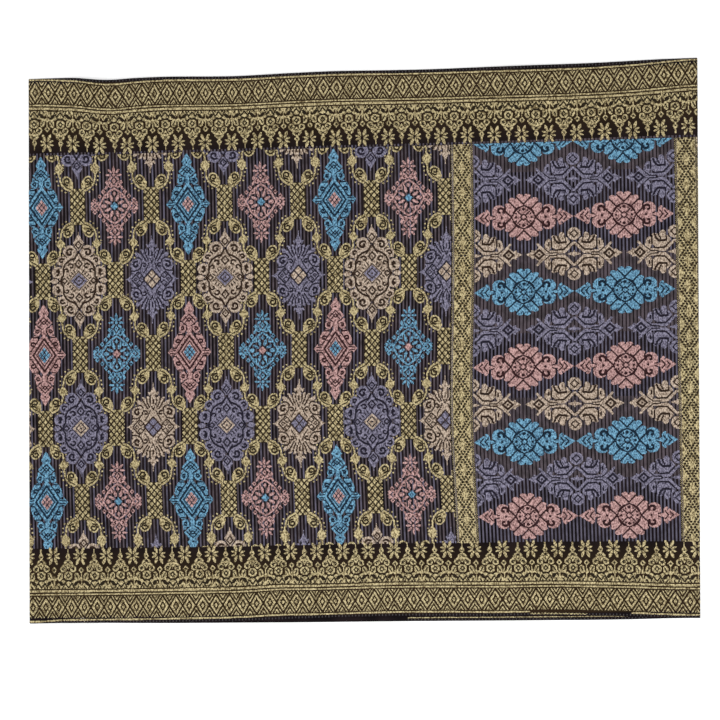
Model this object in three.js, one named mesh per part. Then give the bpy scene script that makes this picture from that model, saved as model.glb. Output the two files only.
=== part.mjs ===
// A samping: one length of songket cloth sewn end to end into a tube, laid flat with its back seam underneath.
// Millimetres. +X to the wearer's head-panel side of the front, +Y to the top selvage, +Z up off the table.
import * as THREE from 'three';

// Driving dimensions of the cloth
const flatWidth = 1000; // fold to fold: half of the tube's girth
const clothHeight = 820; // selvage to selvage
const wall = 1.2; // ground cloth with its metal and silk floats
const seamGap = 0.3; // clear space between neighbouring pieces
const seamFromFold = 82.5; // back seam, measured from the left side fold at the hem
const seamAllowance = 10; // turned in and pressed open, on each side of the seam

// Driving dimensions of the lay. The grain runs straight up the cloth; the side folds were pressed a little off it.
const foldRadius = 0.8; // of the wall's middle, round each pressed side fold
const turnRadius = 0.75; // of the wall's middle, where an allowance turns in at the seam
const leftLean = 14.4; // how far each side fold leans to the right on its way up
const rightLean = 11.6;
const foldEase = 45; // width beside a fold over which the front settles down to it
const edgeReach = 170; // how far in from a selvage its unevenness can be felt

// How far the selvages stray upward from two straight lines, at places across the cloth. The front's hem has
// slipped up in the middle, so that the back looks out below it.
const selvages = [
  { across: -507, top: 1.2, frontHem: -1.2, backHem: -1 },
  { across: -428, top: 0.8, frontHem: -0.6, backHem: 0.3 },
  { across: -376, top: -4.6, frontHem: -0.2, backHem: 0.5 },
  { across: -330, top: -2.6, frontHem: 0, backHem: 0.6 },
  { across: -280, top: -2, frontHem: 0.2, backHem: 0.6 },
  { across: -180, top: -4.2, frontHem: 1, backHem: 0.2 },
  { across: -98, top: -2.6, frontHem: 3, backHem: -1 },
  { across: -26, top: -1.6, frontHem: 4.6, backHem: -1.2 },
  { across: 46, top: -2.6, frontHem: 5.2, backHem: -1.2 },
  { across: 117, top: -3.2, frontHem: 4.6, backHem: -1.2 },
  { across: 188, top: -2.8, frontHem: 4.4, backHem: -1.2 },
  { across: 275, top: -2.4, frontHem: 5.4, backHem: -1.2 },
  { across: 346, top: -1.8, frontHem: 3.4, backHem: -1.2 },
  { across: 399, top: -0.6, frontHem: 1.6, backHem: -0.6 },
  { across: 451, top: 0.8, frontHem: 0, backHem: 0.4 },
  { across: 507, top: 1.2, frontHem: -1.2, backHem: -0.8 },
];
const backTopSlip = 3; // the back's top selvage lies this far below the front's, away from the folds

// Soft waves of the front, each a low hill: its middle, its reach both ways and its height
const waves = [
  { across: -385, up: 820, reachAcross: 42, reachUp: 120, rise: 3.6 },
  { across: -290, up: 800, reachAcross: 60, reachUp: 80, rise: 1.2 },
  { across: -90, up: 770, reachAcross: 120, reachUp: 95, rise: 1.6 },
  { across: 255, up: 815, reachAcross: 90, reachUp: 120, rise: 2.2 },
  { across: 400, up: 640, reachAcross: 50, reachUp: 170, rise: 1.3 },
  { across: 140, up: 430, reachAcross: 40, reachUp: 260, rise: 1.4 },
  { across: -170, up: 380, reachAcross: 110, reachUp: 120, rise: 1.1 },
  { across: -330, up: 190, reachAcross: 70, reachUp: 110, rise: 1.3 },
  { across: 0, up: 20, reachAcross: 105, reachUp: 60, rise: 2.4 },
  { across: 275, up: 10, reachAcross: 95, reachUp: 75, rise: 3.2 },
  { across: 380, up: 260, reachAcross: 70, reachUp: 90, rise: 1 },
];
const ridgeTop = seamAllowance + 4; // half the width that the front needs to ride over the pressed-open seam
const ridgeFoot = seamAllowance + 30;

// How finely the solids are cut
const besideSeamSteps = 3;
const ridgeSteps = 10;
const frontSteps = 34;
const backSteps = 20;
const turnSteps = 4;
const quarterSteps = 3;
const frontRows = 28;
const backRows = 20;

// Worked out: the straight outline, and the heights of the layers' middles from the table up
const halfWall = wall / 2;
const reach = flatWidth / 2 + (leftLean + rightLean) / 4; // the furthest that a fold lies from the middle
const leftFold = { bottom: -reach, top: leftLean - reach };
const rightFold = { bottom: reach - rightLean, top: reach };
const seamLine = {
  bottom: leftFold.bottom + seamFromFold,
  top: leftFold.bottom + seamFromFold + leftLean + rightLean, // true to the grain, on the layer that is turned over
};
const backLevel = halfWall;
const frontLevel = backLevel + 2 * foldRadius + seamGap;
const allowanceLevel = backLevel + 2 * turnRadius;
const seamLift = allowanceLevel + wall + seamGap - frontLevel;

function smoothStep(from, to, value) {
  const share = THREE.MathUtils.clamp((value - from) / (to - from), 0, 1);
  return share * share * (3 - 2 * share);
}

// Where a line that leans across the cloth lies, at a share of the way up
function leaning(line, upShare) {
  return THREE.MathUtils.lerp(line.bottom, line.top, upShare);
}

// A column of a table read as one smooth curve across the cloth
function readCurve(table, column, across) {
  const last = table.length - 1;
  let row = 0;
  while (row < last - 1 && across > table[row + 1].across) row += 1;
  const slopeAt = (index) => {
    const before = table[Math.max(index - 1, 0)];
    const after = table[Math.min(index + 1, last)];
    return (after[column] - before[column]) / (after.across - before.across);
  };
  const span = table[row + 1].across - table[row].across;
  const share = THREE.MathUtils.clamp((across - table[row].across) / span, 0, 1);
  const square = share * share;
  const cube = square * share;
  return (2 * cube - 3 * square + 1) * table[row][column]
    + (cube - 2 * square + share) * span * slopeAt(row)
    + (3 * square - 2 * cube) * table[row + 1][column]
    + (cube - square) * span * slopeAt(row + 1);
}

// How far from both side folds a place lies, 0 at a fold and 1 in the open
function openness(across, upShare) {
  const fromLeft = across - leaning(leftFold, upShare);
  const fromRight = leaning(rightFold, upShare) - across;
  return smoothStep(0, foldEase, fromLeft) * smoothStep(0, foldEase, fromRight);
}

function frontHeight(across, upShare) {
  let rise = 0;
  for (const wave of waves) {
    const sideways = (across - wave.across) / wave.reachAcross;
    const upward = (upShare * clothHeight - wave.up) / wave.reachUp;
    rise += wave.rise * Math.exp(-sideways * sideways - upward * upward);
  }
  const fromSeam = Math.abs(across - leaning(seamLine, upShare));
  const ridge = seamLift * (1 - smoothStep(ridgeTop, ridgeFoot, fromSeam));
  return frontLevel + rise * openness(across, upShare) + ridge;
}

function layY(across, upShare, hem) {
  const up = upShare * clothHeight;
  const slip = hem === 'backHem' ? backTopSlip * openness(across, upShare) : 0;
  const low = readCurve(selvages, hem, across) * (1 - smoothStep(0, edgeReach, up));
  const high = (readCurve(selvages, 'top', across) - slip) * (1 - smoothStep(0, edgeReach, clothHeight - up));
  return up - clothHeight / 2 + low + high;
}

// Sections are lists of stations. A station is a place on the wall's middle line, with the way out of the tube.
function frontStations(upShare) {
  const stations = [];
  const left = leaning(leftFold, upShare) + foldRadius + halfWall;
  const right = leaning(rightFold, upShare) - foldRadius - halfWall;
  const seam = leaning(seamLine, upShare);
  const foldCentre = frontLevel - foldRadius;
  const addFold = (x, side, step) => {
    const angle = (step / quarterSteps) * Math.PI / 2;
    const outX = side * Math.cos(angle);
    const outZ = Math.sin(angle);
    stations.push({ x: x + foldRadius * outX, z: foldCentre + foldRadius * outZ, outX, outZ });
  };
  const addFlat = (from, to, steps) => {
    for (let step = 0; step < steps; step += 1) {
      const x = THREE.MathUtils.lerp(from, to, step / steps);
      stations.push({ x, z: frontHeight(x, upShare), outX: 0, outZ: 1 });
    }
  };
  for (let step = 0; step < quarterSteps; step += 1) addFold(left, -1, step);
  addFlat(left, seam - ridgeFoot, besideSeamSteps);
  addFlat(seam - ridgeFoot, seam + ridgeFoot, ridgeSteps);
  addFlat(seam + ridgeFoot, right, frontSteps);
  for (let step = quarterSteps; step >= 0; step -= 1) addFold(right, 1, step);
  return stations;
}

// One back stretch, from its side fold to the seam, where its allowance turns in over it
function backStations(upShare, fold, steps) {
  const stations = [];
  const side = fold === leftFold ? -1 : 1; // the way from the seam to this fold
  const foldFace = leaning(fold, upShare) - side * (foldRadius + halfWall);
  const seamFace = leaning(seamLine, upShare) + side * (seamGap / 2 + halfWall + turnRadius);
  for (let step = 0; step < quarterSteps; step += 1) {
    const angle = (step / quarterSteps) * Math.PI / 2;
    const outX = side * Math.cos(angle);
    const outZ = -Math.sin(angle);
    stations.push({ x: foldFace + foldRadius * outX, z: backLevel + foldRadius + foldRadius * outZ, outX, outZ });
  }
  for (let step = 0; step < steps; step += 1) {
    stations.push({ x: THREE.MathUtils.lerp(foldFace, seamFace, step / steps), z: backLevel, outX: 0, outZ: -1 });
  }
  for (let step = 0; step <= turnSteps; step += 1) {
    const angle = (step / turnSteps) * Math.PI;
    const outX = -side * Math.sin(angle);
    const outZ = -Math.cos(angle);
    stations.push({ x: seamFace + turnRadius * outX, z: backLevel + turnRadius + turnRadius * outZ, outX, outZ });
  }
  stations.push({ x: seamFace + side * seamAllowance, z: allowanceLevel, outX: 0, outZ: 1 });
  return stations;
}

// A stretch of cloth as one closed wall: an outer and an inner sheet of points through its sections, shut all round
function clothWall(sectionAt, rows, hem) {
  const places = [];
  const faces = [];
  const count = sectionAt(0).length;
  for (const face of [halfWall, -halfWall]) {
    for (let row = 0; row <= rows; row += 1) {
      const upShare = row / rows;
      for (const { x, z, outX, outZ } of sectionAt(upShare)) {
        places.push(x + outX * face, layY(x, upShare, hem), z + outZ * face);
      }
    }
  }
  const at = (sheet, row, column) => (sheet * (rows + 1) + row) * count + column;
  const quad = (a, b, c, d) => faces.push(a, b, c, a, c, d);
  for (let row = 0; row < rows; row += 1) {
    for (let column = 0; column < count - 1; column += 1) {
      quad(at(0, row, column), at(0, row, column + 1), at(0, row + 1, column + 1), at(0, row + 1, column));
      quad(at(1, row, column), at(1, row + 1, column), at(1, row + 1, column + 1), at(1, row, column + 1));
    }
    const end = count - 1;
    quad(at(0, row, 0), at(0, row + 1, 0), at(1, row + 1, 0), at(1, row, 0));
    quad(at(0, row, end), at(1, row, end), at(1, row + 1, end), at(0, row + 1, end));
  }
  for (let column = 0; column < count - 1; column += 1) {
    quad(at(0, 0, column), at(1, 0, column), at(1, 0, column + 1), at(0, 0, column + 1));
    quad(at(0, rows, column), at(0, rows, column + 1), at(1, rows, column + 1), at(1, rows, column));
  }
  const geometry = new THREE.BufferGeometry();
  geometry.setAttribute('position', new THREE.Float32BufferAttribute(places, 3));
  geometry.setIndex(faceOutward(places, faces));
  geometry.computeVertexNormals();
  return geometry;
}

// The same triangles, turned about if they enclose less than nothing
function faceOutward(places, faces) {
  const corner = (index) => new THREE.Vector3().fromArray(places, index * 3);
  let volume = 0;
  for (let face = 0; face < faces.length; face += 3) {
    volume += corner(faces[face]).dot(corner(faces[face + 1]).cross(corner(faces[face + 2])));
  }
  if (volume > 0) return faces;
  const turned = [];
  for (let face = 0; face < faces.length; face += 3) turned.push(faces[face], faces[face + 2], faces[face + 1]);
  return turned;
}

const songketCloth = new THREE.MeshStandardMaterial({ color: 0x5a5040, roughness: 0.72, metalness: 0.15 });
const songketReverse = new THREE.MeshStandardMaterial({ color: 0x3d3542, roughness: 0.85, metalness: 0.05 });

function namedPiece(name, geometry, material) {
  const piece = new THREE.Mesh(geometry, material);
  piece.name = name;
  return piece;
}

const samping = new THREE.Group();
samping.add(namedPiece('front_stretch', clothWall(frontStations, frontRows, 'frontHem'), songketCloth));
samping.add(namedPiece(
  'back_stretch',
  clothWall((upShare) => backStations(upShare, rightFold, backSteps), backRows, 'backHem'),
  songketReverse,
));
samping.add(namedPiece(
  'back_end',
  clothWall((upShare) => backStations(upShare, leftFold, besideSeamSteps), backRows, 'backHem'),
  songketReverse,
));

export default samping;
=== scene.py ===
import math

import bpy
import numpy as np
from mathutils import Matrix, Vector


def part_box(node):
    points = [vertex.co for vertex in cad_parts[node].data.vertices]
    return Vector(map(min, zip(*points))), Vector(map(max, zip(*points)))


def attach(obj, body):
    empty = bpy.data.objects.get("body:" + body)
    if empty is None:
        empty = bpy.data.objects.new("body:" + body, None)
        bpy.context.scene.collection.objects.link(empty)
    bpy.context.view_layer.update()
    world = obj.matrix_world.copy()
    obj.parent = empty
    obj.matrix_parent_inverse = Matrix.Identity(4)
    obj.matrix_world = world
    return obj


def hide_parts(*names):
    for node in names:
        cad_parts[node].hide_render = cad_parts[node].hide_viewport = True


# A samping: a length of songket sewn into a tube and laid flat, its back seam underneath.
# The cloth is laid in millimetres: across runs round the tube, up from the hem to the top selvage,
# and proud is out of the cloth's middle. The charts for the gold and coloured floats are drawn below.

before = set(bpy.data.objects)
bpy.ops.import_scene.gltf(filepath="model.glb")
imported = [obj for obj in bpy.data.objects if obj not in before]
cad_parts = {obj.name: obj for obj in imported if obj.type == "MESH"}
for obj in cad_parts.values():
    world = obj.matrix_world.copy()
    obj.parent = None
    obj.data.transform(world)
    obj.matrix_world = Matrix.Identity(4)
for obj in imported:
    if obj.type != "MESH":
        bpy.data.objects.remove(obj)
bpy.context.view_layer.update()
rng = np.random.default_rng(41)
mm = 0.001

frontBox = [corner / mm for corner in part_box("front_stretch")]

cloth = {
    "height": 820.0,
    "leftLean": 14.4,  # how far each side fold leans to the right on its way up
    "rightLean": 11.6,
    "foldRoom": 1.4,  # from the outside of a fold to where the front lies flat
    "frontLevel": 2.5,  # heights of the layers' middles above the table
    "backLevel": 0.6,
    "seamFromFold": 82.5,
    "seamGap": 1.5,  # from the seam line to where a layer starts to turn in
    "seamTurn": 0.75,
    "seamAllowance": 10.0,
    "seamLift": 1.1,
    "ridgeTop": 14.0,
    "ridgeFoot": 40.0,
    "foldEase": 45.0,
    "edgeReach": 170.0,
    "backTopSlip": 3.0,
    "halfWall": 0.3,  # thin as the ground cloth is, with the floats outside it
}
cloth["reach"] = frontBox[1].x
cloth["leftFold"] = (-cloth["reach"], cloth["leftLean"] - cloth["reach"])
cloth["rightFold"] = (cloth["reach"] - cloth["rightLean"], cloth["reach"])
cloth["seamLine"] = (
    cloth["leftFold"][0] + cloth["seamFromFold"],
    cloth["leftFold"][0] + cloth["seamFromFold"] + cloth["leftLean"] + cloth["rightLean"],
)

# How far the selvages stray upward from straight lines: across, top, front hem, back hem
selvageDrift = np.array([
    (-507, 1.2, -1.8, -1.6),
    (-428, 0.8, -1.2, -1.0),
    (-376, -4.6, -1.6, -2.2),
    (-330, -2.6, -1.8, -2.8),
    (-280, -2.0, -1.6, -3.2),
    (-180, -4.2, -0.4, -3.4),
    (-98, -2.6, 2.2, -3.6),
    (-26, -1.6, 4.4, -3.4),
    (46, -2.6, 5.2, -3.2),
    (117, -3.2, 4.6, -3.2),
    (188, -2.8, 4.0, -3.4),
    (275, -2.4, 5.2, -3.4),
    (346, -1.8, 3.4, -3.4),
    (399, -0.6, 1.6, -3.0),
    (451, 0.8, -0.6, -2.0),
    (507, 1.2, -1.8, -1.8),
])

# Soft hills of the front: across, up, reach across, reach up, rise
softWaves = [
    (-385, 820, 42, 120, 3.6),
    (-290, 800, 60, 80, 1.2),
    (-90, 770, 120, 95, 1.6),
    (255, 815, 90, 120, 2.2),
    (400, 640, 50, 170, 1.3),
    (140, 430, 40, 260, 1.4),
    (-170, 380, 110, 120, 1.1),
    (-330, 190, 70, 110, 1.3),
    (0, 20, 105, 60, 2.4),
    (275, 10, 95, 75, 3.2),
    (380, 260, 70, 90, 1.0),
]

# Soft pulls of the front to the right: across, up, reach across, reach up, shift
sidePulls = [
    (160, 310, 200, 165, -7.5),
    (-330, 240, 120, 100, -3),
    (-90, 290, 100, 90, -2),
    (-230, 626, 150, 80, 1.5),
]


def smoothStep(low, high, value):
    share = np.clip((value - low) / (high - low), 0, 1)
    return share * share * (3 - 2 * share)


def leaning(line, share):
    return line[0] + (line[1] - line[0]) * share


def readDrift(column, across):
    # one column of the drift table as a smooth curve
    places = selvageDrift[:, 0]
    values = selvageDrift[:, column]
    last = len(places) - 1
    before = np.maximum(np.arange(last + 1) - 1, 0)
    after = np.minimum(np.arange(last + 1) + 1, last)
    slopes = (values[after] - values[before]) / (places[after] - places[before])
    row = np.clip(np.searchsorted(places, across, side="right") - 1, 0, last - 1)
    span = places[row + 1] - places[row]
    share = np.clip((across - places[row]) / span, 0, 1)
    square = share * share
    cube = square * share
    return (
        (2 * cube - 3 * square + 1) * values[row]
        + (cube - 2 * square + share) * span * slopes[row]
        + (3 * square - 2 * cube) * values[row + 1]
        + (cube - square) * span * slopes[row + 1]
    )


def softHills(hills, across, up):
    total = np.zeros(np.broadcast(across, up).shape)
    for middle, middleUp, reachAcross, reachUp, size in hills:
        total += size * np.exp(-(((across - middle) / reachAcross) ** 2) - ((up - middleUp) / reachUp) ** 2)
    return total


def opennessAt(across, share):
    fromLeft = across - leaning(cloth["leftFold"], share)
    fromRight = leaning(cloth["rightFold"], share) - across
    return smoothStep(0, cloth["foldEase"], fromLeft) * smoothStep(0, cloth["foldEase"], fromRight)


def frontHeight(across, up):
    share = up / cloth["height"]
    fromSeam = np.abs(across - leaning(cloth["seamLine"], share))
    ridge = cloth["seamLift"] * (1 - smoothStep(cloth["ridgeTop"], cloth["ridgeFoot"], fromSeam))
    return cloth["frontLevel"] + softHills(softWaves, across, up) * opennessAt(across, share) + ridge


def layCloth(across, up, proud):
    # tube place to world place, in metres: the front, both folds, the back and the turned-in allowances
    across, up, proud = np.broadcast_arrays(across, up, proud)
    share = up / cloth["height"]
    leftFace = leaning(cloth["leftFold"], share) + cloth["foldRoom"]
    rightFace = leaning(cloth["rightFold"], share) - cloth["foldRoom"]
    turn = (cloth["frontLevel"] - cloth["backLevel"]) / 2
    middle = (cloth["frontLevel"] + cloth["backLevel"]) / 2
    side = np.where(across - rightFace > leftFace - across, 1.0, -1.0)
    face = np.where(side > 0, rightFace, leftFace)
    past = (across - face) * side
    angle = np.clip(past / turn, 0, math.pi)
    run = np.maximum(past - math.pi * turn, 0)
    pulled = across + softHills(sidePulls, across, up) * opennessAt(across, share)
    onFront = past <= 0
    x = np.where(onFront, pulled, face + side * (turn + proud) * np.sin(angle) - side * run)
    z = np.where(onFront, 0, middle + (turn + proud) * np.cos(angle))
    z[onFront] = frontHeight(across[onFront], up[onFront]) + proud[onFront]
    seamFace = leaning(cloth["seamLine"], share) + side * cloth["seamGap"]
    over = run - np.abs(face - seamFace)
    radius = cloth["seamTurn"]
    bend = np.clip(over / radius, 0, math.pi)
    inward = np.maximum(over - math.pi * radius, 0)
    turned = over > 0
    turnedX = seamFace - side * (radius + proud) * np.sin(bend) + side * inward
    x = np.where(turned, turnedX, x)
    z = np.where(turned, cloth["backLevel"] + radius - (radius + proud) * np.cos(bend), z)
    toBack = angle / math.pi
    hem = readDrift(2, x) * (1 - toBack) + readDrift(3, x) * toBack
    top = readDrift(1, x) - cloth["backTopSlip"] * opennessAt(x, share) * toBack
    low = hem * (1 - smoothStep(0, cloth["edgeReach"], up))
    high = top * (1 - smoothStep(0, cloth["edgeReach"], cloth["height"] - up))
    y = up - cloth["height"] / 2 + low + high
    return np.stack([x, y, z], axis=-1) * mm


def tubeEnd(share, side):
    # across, where the tube's two ends lie after their allowances have turned in
    fold = cloth["rightFold"] if side > 0 else cloth["leftFold"]
    face = leaning(fold, share) - side * cloth["foldRoom"]
    seamFace = leaning(cloth["seamLine"], share) + side * cloth["seamGap"]
    arc = math.pi * (cloth["frontLevel"] - cloth["backLevel"]) / 2
    marks = [face, arc, np.abs(face - seamFace), math.pi * cloth["seamTurn"], cloth["seamAllowance"]]
    return np.cumsum([face * side] + [mark + 0 * share for mark in marks[1:]], axis=0) * side


def buildMesh(name, points, quads, yarn):
    mesh = bpy.data.meshes.new(name)
    mesh.vertices.add(len(points))
    mesh.vertices.foreach_set("co", np.ascontiguousarray(points, np.float32).ravel())
    mesh.loops.add(len(quads) * 4)
    mesh.loops.foreach_set("vertex_index", np.ascontiguousarray(quads, np.int32).ravel())
    mesh.polygons.add(len(quads))
    mesh.polygons.foreach_set("loop_start", np.arange(len(quads), dtype=np.int32) * 4)
    mesh.polygons.foreach_set("use_smooth", np.ones(len(quads), bool))
    mesh.update(calc_edges=True)
    mesh.validate()
    mesh.materials.append(materials[yarn])
    piece = bpy.data.objects.new(name, mesh)
    bpy.context.scene.collection.objects.link(piece)
    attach(piece, "root")
    return piece


# Materials: each yarn has its own tint, drifting a little over the cloth, and its own fine relief. On the
# gold the fine drift from deep to light is partly the metal yarn's uneven tone and partly painted glints.

def addNode(nodes, kind, values=None):
    node = nodes.new("ShaderNode" + kind)
    setValues(node, values or {})
    return node


def setValues(node, values):
    for socket, value in values.items():
        node.inputs[socket].default_value = value


def addGlow(nodes, links, place, tint, glow):
    # between the gold of both borders the ground takes on a little of its colour, short of the selvages
    split = addNode(nodes, "SeparateXYZ")
    away = addNode(nodes, "Math")
    away.operation = "ABSOLUTE"
    both = addNode(nodes, "Math")
    both.operation = "MINIMUM"
    blend = addNode(nodes, "MixRGB", {"Color2": (*glow["tint"], 1)})
    links.new(place.outputs["Object"], split.inputs["Vector"])
    links.new(split.outputs["Y"], away.inputs[0])
    for socket, (start, full) in enumerate((glow["inner"], glow["outer"])):
        reach = addNode(nodes, "MapRange", {"From Min": start, "From Max": full, "To Max": glow["strength"]})
        links.new(away.outputs["Value"], reach.inputs["Value"])
        links.new(reach.outputs["Result"], both.inputs[socket])
    links.new(both.outputs["Value"], blend.inputs["Fac"])
    links.new(tint, blend.inputs["Color1"])
    return blend.outputs["Color"]


def makeYarn(name, recipe):
    material = bpy.data.materials.new(name)
    material.use_nodes = True
    nodes = material.node_tree.nodes
    links = material.node_tree.links
    shader = nodes["Principled BSDF"]
    setValues(shader, {
        "Roughness": recipe["roughness"],
        "Metallic": recipe["metallic"],
        "Specular IOR Level": recipe["specular"],
        "Sheen Weight": recipe["sheen"],
        "Sheen Roughness": recipe["sheenRoughness"],
    })
    place = addNode(nodes, "TexCoord")
    drift = addNode(nodes, "TexNoise", {
        "Scale": recipe["driftScale"],
        "Detail": recipe["driftDetail"],
        "Roughness": recipe["driftRoughness"],
    })
    ramp = addNode(nodes, "ValToRGB")
    for number, tone in enumerate(("deep", "light")):
        ramp.color_ramp.elements[number].position = recipe["driftRange"][number]
        ramp.color_ramp.elements[number].color = (*recipe[tone], 1)
    streak = addNode(nodes, "Mapping", {"Scale": recipe["driftStretch"]})
    stretch = addNode(nodes, "Mapping", {"Scale": recipe["grainStretch"]})
    grain = addNode(nodes, "TexNoise", {"Scale": recipe["grainScale"], "Detail": recipe["grainDetail"]})
    bump = addNode(nodes, "Bump", {"Strength": recipe["relief"], "Distance": recipe["grainDepth"]})
    links.new(place.outputs["Object"], streak.inputs["Vector"])
    links.new(streak.outputs["Vector"], drift.inputs["Vector"])
    links.new(drift.outputs["Fac"], ramp.inputs["Fac"])
    tint = ramp.outputs["Color"]
    if "glow" in recipe:
        tint = addGlow(nodes, links, place, tint, recipe["glow"])
    links.new(tint, shader.inputs["Base Color"])
    links.new(place.outputs["Object"], stretch.inputs["Vector"])
    links.new(stretch.outputs["Vector"], grain.inputs["Vector"])
    links.new(grain.outputs["Fac"], bump.inputs["Height"])
    links.new(bump.outputs["Normal"], shader.inputs["Normal"])
    return material


def linear(*screenColour):
    # from 0 to 255 along the usual screen curve
    shares = [part / 255 for part in screenColour]
    return tuple(share / 12.92 if share < 0.0404 else ((share + 0.055) / 1.055) ** 2.4 for share in shares)


yarnBase = {
    "roughness": 0.65, "metallic": 0.0, "specular": 0.3, "sheen": 0.06, "sheenRoughness": 0.5,
    "driftScale": 560, "driftStretch": (1, 0.6, 1), "driftDetail": 1.5, "driftRoughness": 0.6,
    "driftRange": (0.36, 0.64),  # of the noise, between the deep tint and the light one
    "grainScale": 900, "grainStretch": (1, 0.35, 1), "grainDetail": 2, "grainDepth": 0.0004, "relief": 0.5,
}
shadeBase = {**yarnBase, "specular": 0.1}  # the shades down in the motifs' cuts
borderGlow = {  # inner and outer are where it starts and where it is full, from the cloth's middle
    "tint": linear(44, 31, 12), "strength": 0.62, "inner": (0.294, 0.336), "outer": (0.4025, 0.4005),
}
yarns = {
    # gold: its fine flecks from the deep tint to the light one are partly the yarn's uneven tone, partly
    # painted glints where the metal thread catches the light
    "gold": {**yarnBase, "deep": linear(72, 56, 16), "light": linear(190, 175, 132), "metallic": 0.2,
             "roughness": 0.45},
    "blue": {**yarnBase, "deep": linear(12, 54, 80), "light": linear(108, 160, 188)},
    "pink": {**yarnBase, "deep": linear(96, 64, 62), "light": linear(188, 150, 146)},
    "tan": {**yarnBase, "deep": linear(88, 70, 54), "light": linear(188, 170, 152)},
    "lilac": {**yarnBase, "deep": linear(48, 44, 62), "light": linear(128, 124, 144)},
    "goldDeep": {**shadeBase, "deep": linear(16, 10, 2), "light": linear(36, 25, 6)},
    "blueDeep": {**shadeBase, "deep": linear(1, 14, 28), "light": linear(4, 30, 48)},
    "pinkDeep": {**shadeBase, "deep": linear(26, 6, 8), "light": linear(44, 16, 18)},
    "tanDeep": {**shadeBase, "deep": linear(24, 12, 4), "light": linear(42, 26, 14)},
    "lilacDeep": {**shadeBase, "deep": linear(10, 7, 18), "light": linear(24, 20, 36)},
    "rib": {**yarnBase, "deep": linear(50, 46, 60), "light": linear(78, 74, 90), "driftScale": 120},
    "ribBrown": {**yarnBase, "deep": linear(40, 32, 37), "light": linear(68, 58, 65), "driftScale": 120},
    "tick": {**yarnBase, "deep": linear(46, 44, 46), "light": linear(66, 62, 64)},
    "sewing": {**yarnBase, "deep": linear(26, 22, 30), "light": linear(46, 40, 50)},
    "looseThread": {**yarnBase, "deep": linear(150, 140, 120), "light": linear(196, 188, 172)},
    "ground": {**yarnBase, "deep": linear(10, 5, 7), "light": linear(24, 16, 18), "roughness": 0.9,
               "specular": 0.1, "sheen": 0.0, "driftScale": 24, "grainScale": 1100, "grainStretch": (1, 1, 1),
               "relief": 0.8, "glow": borderGlow},
}
materials = {name: makeYarn("yarn_" + name, recipe) for name, recipe in yarns.items()}
gemYarns = ("blue", "pink", "tan", "lilac")
floatYarns = ("gold",) + gemYarns
print("yarns ready:", len(materials))


# The ground cloth: one closed thin wall right round the tube, with its allowances turned in at the seam

shellSteps = {"front": 150, "fold": 8, "longBack": 70, "shortBack": 12, "turn": 8, "allowance": 3, "rows": 96}


def makeShell():
    rows = np.linspace(0, 1, shellSteps["rows"] + 1)
    rightMarks = tubeEnd(rows, 1)
    leftMarks = tubeEnd(rows, -1)
    marks = list(leftMarks[::-1]) + list(rightMarks)
    stretches = ("allowance", "turn", "shortBack", "fold", "front", "fold", "longBack", "turn", "allowance")
    stations = []
    for start, end, stretch in zip(marks[:-1], marks[1:], stretches):
        count = shellSteps[stretch]
        for step in range(count):
            stations.append(start + (end - start) * step / count)
    stations.append(marks[-1])
    across = np.array(stations).T
    up = (rows * cloth["height"])[:, None] + 0 * across
    outer = layCloth(across, up, cloth["halfWall"])
    inner = layCloth(across, up, -cloth["halfWall"])
    rowCount, count = across.shape
    points = np.concatenate([outer.reshape(-1, 3), inner.reshape(-1, 3)])
    index = np.arange(rowCount * count).reshape(rowCount, count)
    back = index + rowCount * count

    def skin(grid):
        return np.stack([grid[:-1, :-1], grid[:-1, 1:], grid[1:, 1:], grid[1:, :-1]], -1).reshape(-1, 4)

    def rim(near, far):
        return np.stack([near[:-1], far[:-1], far[1:], near[1:]], -1)

    quads = np.concatenate([
        skin(index),
        skin(back)[:, ::-1],
        rim(index[0], back[0]),
        rim(back[-1], index[-1]),
        rim(back[:, 0], index[:, 0]),
        rim(index[:, -1], back[:, -1]),
    ])
    return buildMesh("samping_cloth", points, quads, "ground")


shell = makeShell()
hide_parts("front_stretch", "back_stretch", "back_end")
print("ground cloth:", len(shell.data.polygons), "faces")


# Shapes for the charts. Each gives a mask over the places x, y of one patch, in millimetres.

def gem(x, y, centre, half):
    return np.abs(x - centre[0]) / half[0] + np.abs(y - centre[1]) / half[1] <= 1


def dot(x, y, centre, radius):
    return (x - centre[0]) ** 2 + (y - centre[1]) ** 2 <= radius * radius


def oval(x, y, centre, half, lean=0):
    # half is (long, short) and lean the long way's angle from across, in degrees
    cosine, sine = math.cos(math.radians(lean)), math.sin(math.radians(lean))
    along = (x - centre[0]) * cosine + (y - centre[1]) * sine
    aside = (y - centre[1]) * cosine - (x - centre[0]) * sine
    return (along / half[0]) ** 2 + (aside / half[1]) ** 2 <= 1


def line(x, y, points, width):
    mask = np.zeros(np.broadcast(x, y).shape, bool)
    for (startX, startY), (endX, endY) in zip(points[:-1], points[1:]):
        runX, runY = endX - startX, endY - startY
        share = ((x - startX) * runX + (y - startY) * runY) / (runX * runX + runY * runY)
        share = np.clip(share, 0, 1)
        mask |= (x - startX - share * runX) ** 2 + (y - startY - share * runY) ** 2 <= width * width / 4
    return mask


def leaf(x, y, points):
    # a closed outline
    mask = np.zeros(np.broadcast(x, y).shape, bool)
    for (startX, startY), (endX, endY) in zip(points, points[1:] + points[:1]):
        if startY != endY:
            crossing = startX + (y - startY) * (endX - startX) / (endY - startY)
            mask ^= ((startY > y) != (endY > y)) & (x < crossing)
    return mask


def checks(x, y, half, pitch, size):
    # small gems in a diagonal check, out to half
    between = (pitch[0] / 2, pitch[1] / 2)
    aside = np.abs((x + between[0]) % pitch[0] - between[0])
    above = np.abs((y + between[1]) % pitch[1] - between[1])
    spots = gem(aside, above, (0, 0), size) | gem(aside, above, between, size)
    return spots & (x <= half[0]) & (y <= half[1])


curlShape = {"steps": 14, "windIn": 0.68}


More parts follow.
